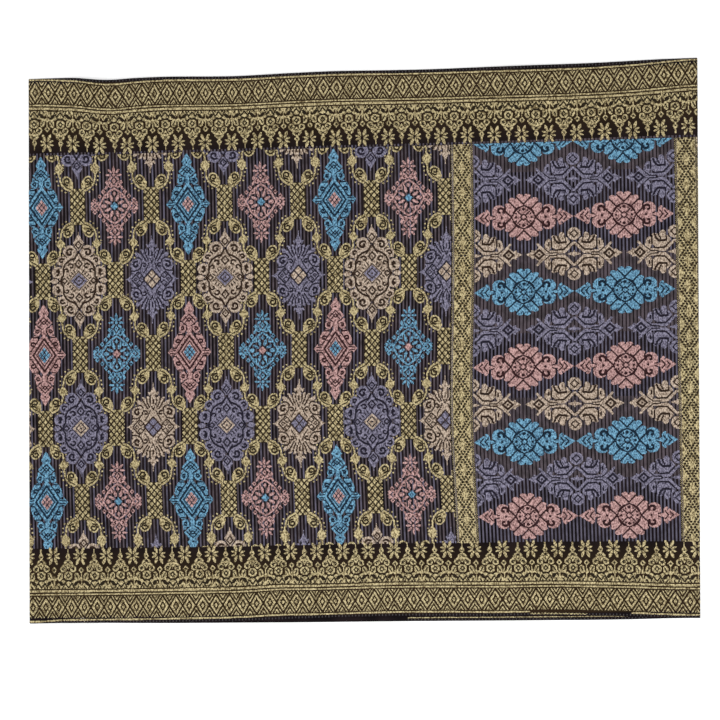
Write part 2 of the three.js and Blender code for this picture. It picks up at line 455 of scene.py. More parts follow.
def curl(x, y, centre, radius, start, turns, width):
    # a spiral that winds in to a third of its radius
    points = []
    for step in range(curlShape["steps"] + 1):
        share = step / curlShape["steps"]
        angle = math.radians(start) + share * turns * 2 * math.pi
        reach = radius * (1 - curlShape["windIn"] * share)
        points.append((centre[0] + reach * math.cos(angle), centre[1] + reach * math.sin(angle)))
    return line(x, y, points, width)


def beads(x, y, start, end, count, radius):
    mask = np.zeros(np.broadcast(x, y).shape, bool)
    for step in range(count):
        share = step / (count - 1)
        middle = [begin + (finish - begin) * share for begin, finish in zip(start, end)]
        mask |= dot(x, y, middle, radius)
    return mask


# Motifs, a quarter of each: x and y count from its middle outward, and a later step lies over an earlier
# one. weave floats the motif's yarn, accent its second yarn, and leave cuts down to its yarn's own shade.

weave, accent, leave, bare = 1, 2, 0, -1

tallGem = {
    "half": (33, 77),
    "steps": [
        (weave, oval, (17, 16.6), (13.4, 6.4), 111),
        (weave, gem, (0, 0), (26, 33)),
        (weave, dot, (9.4, 35.2), 6.3),
        (weave, oval, (11.6, 42), (3.6, 2.2), 60),
        (weave, line, [(0, 42), (0, 30)], 7),
        (leave, line, [(4, 41), (4, 34), (9, 26.6), (17, 26.6)], 1.8),
        (leave, curl, (10, 35.4), 3.0, 120, -0.85, 2.2),
        (weave, gem, (0, 49), (13, 16)),
        (weave, gem, (0, 63.6), (8, 13.6)),
        (leave, line, [(3, 39.4), (9, 44), (12, 47)], 1.5),
        (leave, dot, (0, 62.6), 1.5),
        (leave, line, [(0, 57), (9, 48)], 1.6),
        (leave, line, [(0, 51.8), (6, 45)], 1.6),
        (leave, line, [(0, 46.4), (6, 53)], 1.6),
        (leave, line, [(3.6, 30), (12.6, 17.6), (20.4, 5.6)], 1.9),
        (leave, curl, (17.6, 16), 3.7, 150, -0.8, 2.5),
        (leave, line, [(0, 24.6), (17.2, 0)], 2.8),
        (leave, line, [(0, 17), (11.8, 0)], 1.6),
        (leave, line, [(4.6, 17.4), (7, 19.2)], 1.5),
        (leave, line, [(9.4, 10.4), (12, 12)], 1.4),
        (accent, gem, (0, 0), (9.4, 12.4)),
        (leave, line, [(3.3, 0), (0, 4.2)], 1.1),
        (leave, line, [(3.3, 0), (6.6, 4.2)], 1.1),
        (leave, line, [(0, 4.2), (3.3, 8.4)], 1.1),
        (weave, gem, (27, 0), (6, 7)),
        (leave, line, [(20.6, 2.4), (29, 2)], 1.5),
        (leave, line, [(20.6, 6.2), (26, 5.2)], 1.7),
    ],
}

rosette = {
    "half": (37, 61),
    "steps": [
        (weave, line, [(0, 26.4), (6, 22.8), (14.4, 15.4), (23.4, 0)], 2.9),
        (weave, line, [(9.6, 17.4), (9.6, 12.8), (15.6, 12.4)], 1.9),
        (weave, oval, (15.6, 0), (4, 3.2)),
        (weave, oval, (10, 5.6), (5.1, 2.2), 28),
        (weave, oval, (4.4, 11.8), (5.2, 2.2), 74),
        (weave, gem, (0, 18.8), (2.8, 3.8)),
        (weave, line, [(6.8, 19.6), (6.2, 17.4)], 1.6),
        (accent, gem, (0, 0), (5.9, 6.2)),
        (weave, line, [(22.4, 0), (28.8, 6.2), (35, 0)], 2.4),
        (weave, line, [(23.6, 6), (29.6, 0)], 2.0),
        (weave, gem, (29.4, 8.8), (3.6, 4)),
        (leave, dot, (29.2, 8.6), 1.2),
        (weave, gem, (33.6, 4.4), (2.6, 2.8)),
        (weave, gem, (21.8, 14.6), (3.3, 4)),
        (leave, dot, (21.8, 14.6), 1.1),
        (weave, gem, (16.2, 21.4), (3.3, 4)),
        (leave, dot, (16.2, 21.4), 1.1),
        (weave, oval, (11.4, 28), (4, 1.8), 120),
        (weave, gem, (10.6, 35.6), (2.5, 4.2)),
        (weave, dot, (5.4, 31.4), 4.1),
        (leave, curl, (5.4, 31), 2.0, 90, -0.6, 1.5),
        (weave, line, [(0, 29.4), (7, 37)], 1.9),
        (weave, gem, (0, 38), (3.3, 4.6)),
        (leave, dot, (0, 38), 1.1),
        (weave, gem, (0, 47), (2.9, 2.9)),
        (weave, oval, (0, 54.4), (4.8, 1.9), 90),
        (weave, oval, (5.6, 52.6), (4.4, 1.7), 46),
        (weave, oval, (7.8, 46.9), (4, 1.8)),
        (weave, oval, (5.4, 41.4), (4.2, 1.7), -46),
        (weave, line, [(0, 60.4), (0, 56)], 1.3),
    ],
}

lobedGem = {
    "half": (45, 74),
    "steps": [
        (weave, gem, (0, 56.6), (8.6, 13.4)),
        (weave, line, [(0, 72.6), (0, 66)], 1.6),
        (weave, line, [(0, 69), (2.6, 65.4)], 1.5),
        (weave, dot, (13.4, 43.2), 10.6),
        (weave, dot, (25.6, 30), 7.8),
        (weave, dot, (32.6, 12.8), 9),
        (weave, gem, (37.6, 0), (6.8, 6)),
        (leave, line, [(35, 4.6), (41.6, 4.6)], 1.8),
        (weave, oval, (0, 0), (42, 30), 90),
        (leave, gem, (0, 54), (6, 6.8)),
        (weave, gem, (0, 54), (3.3, 4)),
        (leave, dot, (0, 54), 0.9),
        (leave, line, [(2.6, 46.4), (6.4, 51), (9, 57)], 2.0),
        (leave, curl, (13.8, 42.6), 6, 130, -0.95, 3.1),
        (leave, line, [(18.6, 36), (24, 40)], 2.1),
        (leave, curl, (26.4, 30.4), 4, 150, -0.8, 2.6),
        (leave, line, [(27.6, 22.6), (34, 23)], 2.1),
        (leave, oval, (32.6, 13), (5.6, 3.2), 100),
        (weave, dot, (34.4, 11.8), 1.5),
        (leave, line, [(0, 44), (3, 38.4), (6, 34), (14, 31), (20.6, 26), (24.4, 18), (24.4, 7.6), (29, 0)],
         2.8),
        (leave, gem, (0, 25.6), (6.8, 8)),
        (weave, gem, (0, 25.6), (3.9, 4.7)),
        (leave, dot, (0, 25.6), 1.1),
        (leave, gem, (22.4, 0), (5.4, 5.4)),
        (weave, gem, (22.4, 0), (2.8, 2.8)),
        (leave, line, [(4.4, 34.6), (8.6, 29.4)], 1.7),
        (leave, curl, (11.8, 21.6), 4.8, 30, 0.72, 2.5),
        (leave, curl, (18.8, 15), 4, 0, 0.72, 2.3),
        (leave, line, [(5.6, 12.4), (7.8, 16)], 1.7),
        (leave, line, [(9, 9.8), (11.6, 13)], 1.7),
        (leave, line, [(12.2, 6.6), (15, 9.4)], 1.7),
        (leave, line, [(15.4, 3), (18.6, 5.4)], 1.7),
        (leave, line, [(14.6, 0), (0, 14.6)], 1.2),
        (accent, gem, (0, 0), (12.6, 12.6)),
        (leave, line, [(7.6, 0), (0, 7.6)], 1.5),
        (leave, gem, (0, 0), (1.8, 1.8)),
    ],
}

palmette = {
    "half": (43, 73),
    "steps": [
        (weave, line, [(0, 66), (0, 55)], 1.3),
        (weave, oval, (0, 0), (44, 32.6), 90),
        (weave, gem, (0, 49), (6, 12.6)),
        (weave, oval, (5, 49), (4.6, 1.7), 52),
        (weave, oval, (7.4, 42), (4.6, 2.6), 62),
        (weave, oval, (13.6, 39.6), (6.2, 3.2), 58),
        (weave, oval, (20, 35), (7, 3.2), 52),
        (weave, dot, (24, 22), 8.6),
        (weave, gem, (27, 0), (12, 9)),
        (leave, line, [(3.8, 48), (5, 40), (4, 33)], 2.0),
        (leave, line, [(10.8, 44), (9, 36), (5.6, 29.4)], 2.1),
        (leave, line, [(17, 42), (13.4, 35), (8.6, 27.4)], 2.1),
        (leave, line, [(34, 31.4), (25.6, 32), (19.4, 32.6), (15.4, 29)], 2.2),
        (leave, line, [(0, 41), (0, 35)], 1.8),
        (leave, line, [(2.4, 31), (0, 25)], 1.6),
        (leave, curl, (23.8, 22), 5.2, 110, -0.85, 3.0),
        (leave, line, [(15.4, 29), (15.8, 20), (20.6, 14), (27, 12.4), (36, 13.4)], 2.0),
        (leave, curl, (11.6, 20.8), 3.8, 60, 0.7, 2.3),
        (leave, line, [(4.4, 24.4), (8, 16), (12.4, 9.8)], 1.7),
        (leave, line, [(10.4, 0), (20.8, 11.4), (31.4, 0)], 2.1),
        (leave, gem, (18.6, 5.6), (5.2, 5.2)),
        (weave, gem, (18.6, 5.6), (3.2, 3.2)),
        (leave, gem, (24.8, 0), (3.4, 3.4)),
        (weave, gem, (24.8, 0), (1.8, 1.8)),
        (leave, line, [(31, 8.4), (35, 4.4)], 1.9),
        (weave, line, [(32, 0), (39, 0)], 1.8),
        (leave, gem, (0, 0), (15, 16.6)),
        (accent, gem, (0, 0), (12, 13.6)),
        (leave, line, [(0, 0), (6.4, 7.2)], 1.7),
    ],
}

fanGem = {
    "half": (74, 38),
    "steps": [
        (weave, gem, (0, 0), (47, 32)),
        (weave, dot, (5.3, 28.4), 6.2),
        (weave, oval, (14.4, 21.6), (8.8, 6), 48),
        (weave, oval, (20.6, 14.6), (8, 5), 42),
        (weave, dot, (36, 8.2), 10.4),
        (weave, oval, (0, 0), (48.6, 9.6)),
        (leave, line, [(0, 38), (0, 31.6)], 2.0),
        (leave, line, [(0, 19.4), (12, 31.6)], 2.2),
        (leave, line, [(12.4, 14), (23, 24.8)], 2.1),
        (leave, line, [(17.4, 0), (27, 9.4), (27.6, 16)], 2.4),
        (weave, dot, (0, 0), 15.4),
        (leave, line, [(17, 0), (15, 6.4)], 1.9),
        (leave, line, [(14.2, 6.8), (11.4, 11.2), (6.8, 14.4)], 3.6),
        (leave, line, [(6.2, 14.8), (0, 17.4)], 1.9),
        (leave, line, [(4.8, 0), (0, 4.8)], 1.7),
        (leave, line, [(3.2, 3.2), (8.8, 8.8)], 1.9),
        (leave, dot, (0, 12), 2.3),
        (leave, dot, (11.6, 0), 1.8),
        (leave, dot, (5.6, 10.6), 1.4),
        (leave, dot, (10.6, 5.6), 1.4),
        (leave, curl, (34.4, 9.4), 6, 200, -0.74, 3.5),
        (leave, dot, (32.2, 0), 1.9),
        (leave, line, [(42, 1.8), (47, 3.6)], 1.7),
        (weave, gem, (58.4, 0), (14.4, 9.4)),
        (weave, oval, (52.6, 8), (5, 2.5), 60),
        (leave, line, [(48.4, 3), (49.4, 9)], 1.5),
        (leave, line, [(56.6, 0), (52, 5.8)], 1.9),
        (leave, line, [(63.6, 0), (59, 5)], 1.9),
    ],
}

spearGem = {
    "half": (72, 42),
    "steps": [
        (weave, oval, (20, 15.6), (14.4, 11.8), 8),
        (weave, oval, (27.6, 20.6), (8, 5), 60),
        (weave, oval, (17.8, 25.6), (6.6, 4.6), 95),
        (weave, oval, (38, 13.6), (9.4, 4.8), 100),
        (leave, line, [(33.4, 24), (32.8, 8.4)], 2.3),
        (leave, oval, (37.2, 15), (3.6, 1.3), 95),
        (leave, line, [(29.4, 26), (27.4, 20.6), (23, 16.4), (12.4, 17.2)], 3.1),
        (leave, line, [(24, 32), (23.4, 25), (20.4, 19.4)], 2.2),
        (leave, line, [(13.2, 31), (12.8, 24), (12, 18)], 1.9),
        (weave, line, [(0, 16.4), (15, 2.9), (38, 3.4), (42, 5)], 4.6),
        (leave, line, [(0, 19.6), (3.4, 18.4), (15, 6.6), (28, 5.9), (32.6, 9.4)], 2.4),
        (leave, line, [(24.6, 1.8), (35, 1.9), (43.4, 8.6)], 1.6),
        (weave, line, [(27, 0), (42, 0)], 1.9),
        (leave, dot, (0, 29.8), 10.9),
        (weave, dot, (0, 29.8), 9.5),
        (leave, gem, (0, 29.8), (7, 6.8)),
        (weave, gem, (0, 29.8), (4.4, 4.2)),
        (leave, gem, (0, 0), (13.8, 15)),
        (weave, oval, (0, 0), (9.4, 2.3)),
        (weave, gem, (0, 0), (3.2, 5)),
        (weave, gem, (51, 0), (11.8, 10.8)),
        (weave, line, [(45, 7), (50.4, 12), (53.4, 15.4)], 3.4),
        (weave, gem, (61.6, 0), (9, 5)),
        (weave, line, [(58, 4.2), (61.6, 6)], 1.8),
        (leave, gem, (51, 0), (9.2, 8.6)),
        (weave, gem, (51, 0), (4.9, 4.6)),
        (leave, dot, (51, 0), 1.5),
    ],
}

# A knot of four vines, its first two steps the shaded ground under the checks
vineKnot = {
    "half": (36, 64),
    "steps": [
        (weave, line, [(0, 0), (0, 16)], 24),
        (leave, line, [(0, 0), (0, 16)], 24),
        (weave, checks, (11.4, 27), (8.8, 10.2), (2.9, 3.6)),
        (weave, checks, (1.5, 27), (8.8, 10.2), (3.3, 4)),
        (weave, oval, (14.8, 35), (12, 8), 66),
        (leave, curl, (15.8, 38.8), 5.8, -100, 1.15, 2.6),
        (weave, line, [(11.4, 24), (18.4, 27.4), (24, 33.4), (26.8, 40.6), (27.4, 50)], 2.6),
        (leave, line, [(10.4, 26.4), (17.4, 29.8), (22.8, 35.4), (24.6, 42)], 1.6),
        (weave, gem, (27.7, 55.75), (7.2, 8.6)),
    ] + [
        (weave, dot, place, 1.3)
        for place in ((18.4, 22.4), (23.8, 25.4), (29, 33), (31.2, 39.4), (32, 45.6), (34.2, 51.4))
    ],
}

# A shoot of the border, from its foot up, and what stands between two shoots
bambooShoot = {
    "half": (19.95, 62),
    "steps": [
        (weave, leaf, [(-1, -1), (20, -1), (19.4, 4), (15, 10.4), (10, 13.4), (-1, 13)]),
        (leave, line, [(0, 1.6), (5.4, 8.6), (9, 1.2)], 2.3),
        (leave, line, [(4, -0.6), (5.2, 2.2), (6.4, -0.6)], 1.4),
        (leave, oval, (11.8, 8.2), (4.6, 2.7), 50),
        (leave, line, [(13, -0.6), (15.4, 3.6)], 2.1),
        (leave, line, [(1.2, 11.6), (4.6, 10.6)], 1.7),
        (weave, oval, (13, 18), (6.4, 3.8), 100),
        (leave, line, [(11.2, 21.4), (14.2, 16)], 2.0),
        (leave, line, [(0, 12.4), (5.4, 13), (8.6, 17), (8.4, 23), (4, 28)], 2.1),
        (weave, leaf, [(-1, 13.8), (3.4, 13.8), (6.4, 17), (6.4, 22.4), (3.4, 25.6), (-1, 25.6)]),
        (leave, gem, (0, 19.7), (4.4, 5)),
        (weave, gem, (0, 19.7), (1.7, 2.1)),
        (weave, line, [(0, 36.6), (6.4, 35.4), (10.6, 31.6)], 2.6),
        (weave, dot, (7.8, 29.4), 4.6),
        (leave, curl, (7.4, 29.2), 2.3, 140, -0.7, 2.2),
        (weave, gem, (0, 34.4), (3.8, 6)),
        (leave, line, [(1.5, 27.4), (2.4, 31)], 1.8),
        (leave, dot, (0, 34), 1.2),
        (weave, oval, (3.8, 40.2), (4, 1.7), -44),
        (leave, line, [(0, 38.6), (2.4, 41.4)], 1.1),
        (weave, gem, (0, 48), (3.9, 6.6)),
        (leave, dot, (0, 47.4), 1.3),
        (weave, line, [(0, 52), (0, 58.4)], 1.7),
    ],
}

budBetween = {
    "half": (6, 36),
    "steps": [
        (weave, line, [(0, 2), (0, 12)], 1.5),
        (weave, gem, (0, 15.6), (1.7, 4.8)),
        (weave, oval, (2.6, 14), (3.2, 1.1), 50),
        (weave, line, [(0, 20), (0, 23)], 1.2),
        (weave, gem, (0, 27.8), (4.3, 4.9)),
        (leave, gem, (0, 27.8), (2.0, 2.4)),
    ],
}

borderStar = {
    "half": (10.5, 15),
    "steps": [
        (weave, oval, (3.7, 7.5), (6, 2.1), 68),
        (weave, oval, (6, 2.2), (4.2, 1.5), 18),
        (leave, line, [(1.4, 1.2), (6.6, 5.6)], 1.3),
        (leave, line, [(0, 0), (0, 7)], 1.1),
    ],
}

stripPanel = {
    "half": (12.6, 18.6),
    "steps": [
        (weave, gem, (0, 0), (40, 40)),
        (leave, beads, (9.6, 0), (0, 14.4), 5, 1.8),
        (leave, beads, (12.4, 4.6), (3, 18.2), 5, 1.8),
        (leave, beads, (3.6, 4.4), (5.6, 0), 2, 1.1),
    ],
}


# Charts: the places of the picks round the tube, and a code for the yarn at each place on them.
# The back's picks are coarser.

chartSizes = {
    "pickPitch": 1.25, "backPickPitch": 2.5, "sampleUp": 0.5,
    "floatLimit": 12.0,  # a longer run is cut up, to follow the cloth's hills
}
chartYarns = ("none",) + floatYarns + tuple(yarn + "Deep" for yarn in floatYarns)
codes = {yarn: number for number, yarn in enumerate(chartYarns)}
frontReach = (-509.0, 516.0)
tubeReach = (-587.0, 1411.0)


def makeChart(start, end, pitch):
    across = np.arange(start + pitch / 2, end, pitch)
    up = np.arange(chartSizes["sampleUp"] / 2, cloth["height"], chartSizes["sampleUp"])
    return {"across": across, "up": up, "pitch": pitch, "yarn": np.zeros((len(across), len(up)), np.int8)}


charts = [
    makeChart(frontReach[0], frontReach[1], chartSizes["pickPitch"]),
    makeChart(frontReach[1], tubeReach[1], chartSizes["backPickPitch"]),
    makeChart(tubeReach[0], frontReach[0], chartSizes["backPickPitch"]),
]


def patchOf(chart, low, high):
    first = np.searchsorted(chart["across"], low[0])
    last = np.searchsorted(chart["across"], high[0])
    bottom = np.searchsorted(chart["up"], low[1])
    top = np.searchsorted(chart["up"], high[1])
    if first >= last or bottom >= top:
        return None
    x = chart["across"][first:last, None]
    y = chart["up"][None, bottom:top]
    return x, y, chart["yarn"][first:last, bottom:top]


def stamp(motif, centre, main, second="none", field=None, upright=0):
    # upright is 0 for a motif alike above and below, 1 for one that stands up, -1 for one that hangs
    half = motif["half"]
    low = [centre[0] - half[0], centre[1] - half[1]]
    high = [centre[0] + half[0], centre[1] + half[1]]
    if upright > 0:
        low[1] = centre[1]
    if upright < 0:
        high[1] = centre[1]
    if field:
        low = [max(low[0], field[0]), max(low[1], field[2])]
        high = [min(high[0], field[1]), min(high[1], field[3])]
    for chart in charts:
        patch = patchOf(chart, low, high)
        if patch is None:
            continue
        x = np.abs(patch[0] - centre[0])
        y = np.abs(patch[1] - centre[1])
        layer = np.full(patch[2].shape, bare, np.int8)
        for tone, shape, *sizes in motif["steps"]:
            mask = shape(x, y, *sizes)
            if tone == leave:
                mask = mask & (layer != bare)
            layer[mask] = tone
        patch[2][layer == leave] = codes[main + "Deep"]
        patch[2][layer == weave] = codes[main]
        patch[2][layer == accent] = codes[second]


# How the cloth is set out. Heights are from its middle and widths from the middle of the front.

setOut = {
    "fieldTop": 294.5,  # from the cloth's middle to where the top border's shoots end
    "fieldFoot": -298.7,
    "columnPitch": 110.8,
    "firstColumn": -475.4,
    "rowPitch": 111.5,
    "middleRow": -7.0,
    "leftStrip": 158.3,  # middles of the strips on both sides of the head panel
    "rightStrip": 486.6,
    "stripHalf": 16.4,
    "stripPitch": 37.3,
    "leftStripUp": -1.8,  # how far a strip's middle gem sits above the cloth's middle
    "rightStripUp": 2.1,
    "stripGap": 1.2,  # bare ground between the body and a strip
    "headGap": 1.0,  # and between a strip and the head panel
    "headMiddle": 321.6,
    "headColumn": 73.3,  # from the panel's middle to its fan columns
    "headPitch": 110.7,
    "fanRow": 183.5,  # the highest whole rows
    "spearRow": 238.5,
    "edgeLine": (4.7, 7.0),  # the border, from the selvage in
    "lattice": (8.8, 40.9),
    "thinLine": (42.8, 45.0),
    "thickLine": (47.2, 50.4),
    "shootFoot": 52.3,
    "shootPitch": 39.9,
    "firstShoot": -484.5,
    "shoots": range(-3, 49),
    "starAcross": -1.2,  # a star's place, from the foot midway between two shoots
    "starUp": 48.8,
    "latticeCell": 19.95,
    "topLatticeFrom": -484.5,
    "hemLatticeFrom": -480.0,
    "borderTop": 113.3,  # from a selvage to past its shoots
}
middleUp = cloth["height"] / 2
headFrom = setOut["leftStrip"] + setOut["stripHalf"]
headTo = setOut["rightStrip"] - setOut["stripHalf"]
bodyEdge = setOut["leftStrip"] - setOut["stripHalf"] - setOut["stripGap"]
upField = (middleUp + setOut["fieldFoot"], middleUp + setOut["fieldTop"])

# The body's rows climb a little to the right, most of all low down. The first four bound the climb.
rowRise = {"from": -360.0, "to": 70.0, "top": 216.0, "foot": -230.0, "right": 1.1, "down": 1.2, "corner": 3.6}

# The borders' own soft pulls: sideways for the shoots and the lattice, in depth for all: across, reach, shift
borderStray = {
    "topShoots": [(-366, 45, 3), (-215, 60, 2), (200, 210, -5.5)],
    "hemShoots": [(-490, 30, -2), (-286, 40, -1), (90, 150, -6), (320, 70, -2)],
    "topLattice": [(-470, 60, 2.5), (-335, 75, 6.5), (-170, 90, 3), (140, 90, -2), (500, 90, 5)],
    "hemLattice": [(-330, 130, -1.7), (-140, 50, 1), (110, 110, -4), (340, 85, -4.5), (500, 60, 3)],
    "topDepth": [(-490, 55, -4), (-360, 40, 1.5), (300, 130, 2), (500, 50, -3.5)],
    "hemDepth": [(-440, 120, -1), (-128, 40, 1.5), (110, 110, 0.8), (470, 90, -1)],
}

bodyKinds = {
    "tallRow": [(tallGem, "blue", "pink"), (rosette, "pink", "blue")],
    "lobedRow": [(lobedGem, "tan", "lilac"), (palmette, "lilac", "tan")],
    "tallRowTurned": [(tallGem, "pink", "blue"), (rosette, "blue", "pink")],
    "lobedRowTurned": [(lobedGem, "lilac", "tan"), (palmette, "tan", "lilac")],
}

# Kind, place in rows up from the middle one, shift in columns. The borders cut the outermost rows.
bodyRows = [
    ("lobedRowTurned", 3.03, 0.5),
    ("tallRow", 2, 0),
    ("lobedRow", 1, 0.5),
    ("tallRowTurned", 0, 0),
    ("lobedRowTurned", -1, 0.5),
    ("tallRow", -2, 0),
    ("lobedRow", -3.04, 0.5),
]
bodyColumns = range(-7, 6)


def riseAt(across, height):
    right = min(max((across - rowRise["from"]) / (rowRise["to"] - rowRise["from"]), 0), 1)
    down = min(max((rowRise["top"] - height) / (rowRise["top"] - rowRise["foot"]), 0), 1) ** 2
    return rowRise["right"] * right + (rowRise["down"] + rowRise["corner"] * right) * down


def drawBody(mirrored):
    # the field of gems in a lattice of vines, and its mirror image on the far side of the head panel
    pitch = setOut["columnPitch"]
    field = (tubeReach[0], bodyEdge) + upField
    if mirrored:
        field = (2 * setOut["headMiddle"] - bodyEdge, tubeReach[1]) + upField
    for kind, row, shift in bodyRows:
        height = middleUp + setOut["middleRow"] + row * setOut["rowPitch"]
        for column in bodyColumns:
            place = setOut["firstColumn"] + (column + shift) * pitch
            knot = place + pitch / 2
            if mirrored:
                place = 2 * setOut["headMiddle"] - place
                knot = 2 * setOut["headMiddle"] - knot
            motif, main, second = bodyKinds[kind][column % 2]
            for shape, where, *tints in ((vineKnot, knot, "gold"), (motif, place, main, second)):
                stamp(shape, (where, height + riseAt(where, height - middleUp)), *tints, field=field)


# Motif, height of its row 0, rows down from there, columns from the panel's middle, yarns by turns
headKinds = [
    (fanGem, setOut["fanRow"], range(-1, 5), (-1, 1), ("pink", "blue")),
    (spearGem, setOut["spearRow"], range(5), (-2, 0, 2), ("lilac", "tan")),
]


def drawHead():
    field = (headFrom + setOut["headGap"], headTo - setOut["headGap"]) + upField
    for motif, firstRow, rows, columns, tints in headKinds:
        for row in rows:
            height = middleUp + firstRow - row * setOut["headPitch"]
            for column in columns:
                place = setOut["headMiddle"] + column * setOut["headColumn"]
                stamp(motif, (place, height), tints[row % 2], field=field)


# The strips' toothed edges: columns of short floats, each column a step lower than the one inside it
teeth = {"from": 12.6, "width": 1.3, "step": 1.4, "pitch": 2.8, "length": 0.9}


def drawStrips():
    # gold ribbons of beaded gems between the body and the head panel, and on the panel's far side
    half = setOut["stripHalf"]
    count = int(setOut["fieldTop"] // setOut["stripPitch"]) + 1
    for strip in ("leftStrip", "rightStrip"):
        middle = setOut[strip]
        field = (middle - half, middle + half) + upField
        for row in range(-count, count + 1):
            height = middleUp + setOut[strip + "Up"] + row * setOut["stripPitch"]
            stamp(stripPanel, (middle, height), "gold", field=field)
        for chart in charts:
            patch = patchOf(chart, (middle - half, upField[0]), (middle + half, upField[1]))
            if patch is None:
                continue
            x, y, yarnCodes = patch
            column = np.floor((np.abs(x - middle) - teeth["from"]) / teeth["width"])
            tooth = (y + teeth["step"] * column) % teeth["pitch"] < teeth["length"]
            yarnCodes[(column >= 0) & tooth] = codes["gold"]


# The lattice's dark lines, in shares of the way out from a lozenge's middle to its sides: place, half width
latticeLines = [(1, 0.16), (1.46, 0.14), (1.86, 0.07)]
latticeGem = {"half": (4.8, 8.8), "hollow": 0.46}


def drawLattice(x, y):
    # gold with dark lines: tall gems with a small one inside, and nested chevrons between them
    half = (setOut["lattice"][1] - setOut["lattice"][0]) / 2
    share = np.abs(x) / (setOut["latticeCell"] / 2) + np.abs(y) / half
    inner = np.abs(x) / latticeGem["half"][0] + np.abs(y) / latticeGem["half"][1]
    dark = (inner > latticeGem["hollow"]) & (inner < 1)
    for place, halfWidth in latticeLines:
        dark |= np.abs(share - place) < halfWidth
    return ~dark


def strayAt(name, across):
    hills = borderStray[name]
    return sum(shift * np.exp(-(((across - middle) / reach) ** 2)) for middle, reach, shift in hills)


# Towards the left fold the hem's edge line runs out to the selvage
runOut = {"rise": 2.4, "full": -498, "gone": -440, "foldFrom": -540, "foldTo": -520}

# Further right the hem's rim has rolled under, and its gold line shows only in part
rolledRim = {
    "from": 246, "to": 395, "depth": 7,
    "lineTo": 330, "line": (1.6, 2.8), "stepWidth": 2.5, "step": 0.9,
}


def drawHemRim(yarnCodes, across, depth):
    rolled = (across > rolledRim["from"]) & (across < rolledRim["to"]) & (depth < rolledRim["depth"])
    yarnCodes[rolled] = codes["none"]
    low, high = rolledRim["line"]
    shown = depth - rolledRim["step"] * (np.floor(across / rolledRim["stepWidth"]) % 2) - low
    yarnCodes[rolled & (across < rolledRim["lineTo"]) & (shown > 0) & (shown < high - low)] = codes["gold"]


def drawBorders():
    cell = setOut["latticeCell"]
    half = setOut["shootPitch"] / 2
    inner, outer = setOut["lattice"]
    for name, upright, edge in (("hem", 1, 0.0), ("top", -1, cloth["height"])):
        for chart in charts:
            across = chart["across"][:, None]
            depth = np.abs(chart["up"] - edge)[None, :] - strayAt(name + "Depth", across)
            slide = 0
            if upright > 0:
                toFold = smoothStep(runOut["foldFrom"], runOut["foldTo"], across)
                slide = runOut["rise"] * (1 - smoothStep(runOut["full"], runOut["gone"], across)) * toFold
            for band, shift in (("thinLine", 0), ("thickLine", 0), ("edgeLine", slide)):
                low, high = setOut[band]
                chart["yarn"][(depth >= low - shift) & (depth < high - shift)] = codes["gold"]
            x = across - strayAt(name + "Lattice", across) - setOut[name + "LatticeFrom"]
            gold = drawLattice((x + cell / 2) % cell - cell / 2, depth - (inner + outer) / 2)
            chart["yarn"][gold & (depth >= inner) & (depth < outer)] = codes["gold"]
            if upright > 0:
                drawHemRim(chart["yarn"], across, depth)
        for number in setOut["shoots"]:
            even = setOut["firstShoot"] + number * setOut["shootPitch"]
            place = even + strayAt(name + "Shoots", even)
            foot = edge + upright * (setOut["shootFoot"] + strayAt(name + "Depth", place))
            stamp(bambooShoot, (place, foot), "gold", upright=upright)
            stamp(budBetween, (place + half, foot), "gold", upright=upright)
            star = (place + half + setOut["starAcross"], foot + upright * setOut["starUp"])
            stamp(borderStar, star, "gold")


drawBody(False)
drawBody(True)
drawHead()
drawStrips()
drawBorders()
print("charts drawn:", [chart["yarn"].shape for chart in charts])


# Floats: each run of one yarn on a pick is a low ridge on the cloth, rising from both sides to its crest

evenShape = {"unevenCrest": 0, "unevenSide": 0, "unevenEnd": 0, "cover": 1}
cutShape = {**evenShape, "edge": 0.39, "crest": 0.42}
goldShape = {
    "edge": 0.4, "crest": 0.54, "unevenCrest": 0.05, "unevenSide": 0.16, "unevenEnd": 0.14,
    "cover": 0.98,  # of the pick's pitch
}
gemShape = {**goldShape, "short": 0.12}  # a little short of the cuts at both ends


def findRuns(chart, code, ups, sides):
    picked = (chart["up"] >= ups[0]) & (chart["up"] < ups[1])
    columns = (chart["across"] >= sides[0]) & (chart["across"] < sides[1])
    mask = (chart["yarn"] == code) & picked[None, :] & columns[:, None]
    padded = np.zeros((mask.shape[0], mask.shape[1] + 2), np.int8)
    padded[:, 1:-1] = mask
    step = np.diff(padded, axis=1)
    pick, start = np.nonzero(step == 1)
    end = np.nonzero(step == -1)[1]
    across = chart["across"][pick]
    begin = start * chartSizes["sampleUp"]
    finish = end * chartSizes["sampleUp"]
    parts = np.maximum(np.ceil((finish - begin) / chartSizes["floatLimit"]).astype(int), 1)
    which = np.repeat(np.arange(len(parts)), parts)
    number = np.arange(len(which)) - np.repeat(np.cumsum(parts) - parts, parts)
    length = ((finish - begin) / parts)[which]
    runStart = begin[which] + number * length
    return np.stack([across[which], runStart, runStart + length, np.full(len(which), chart["pitch"])], -1)


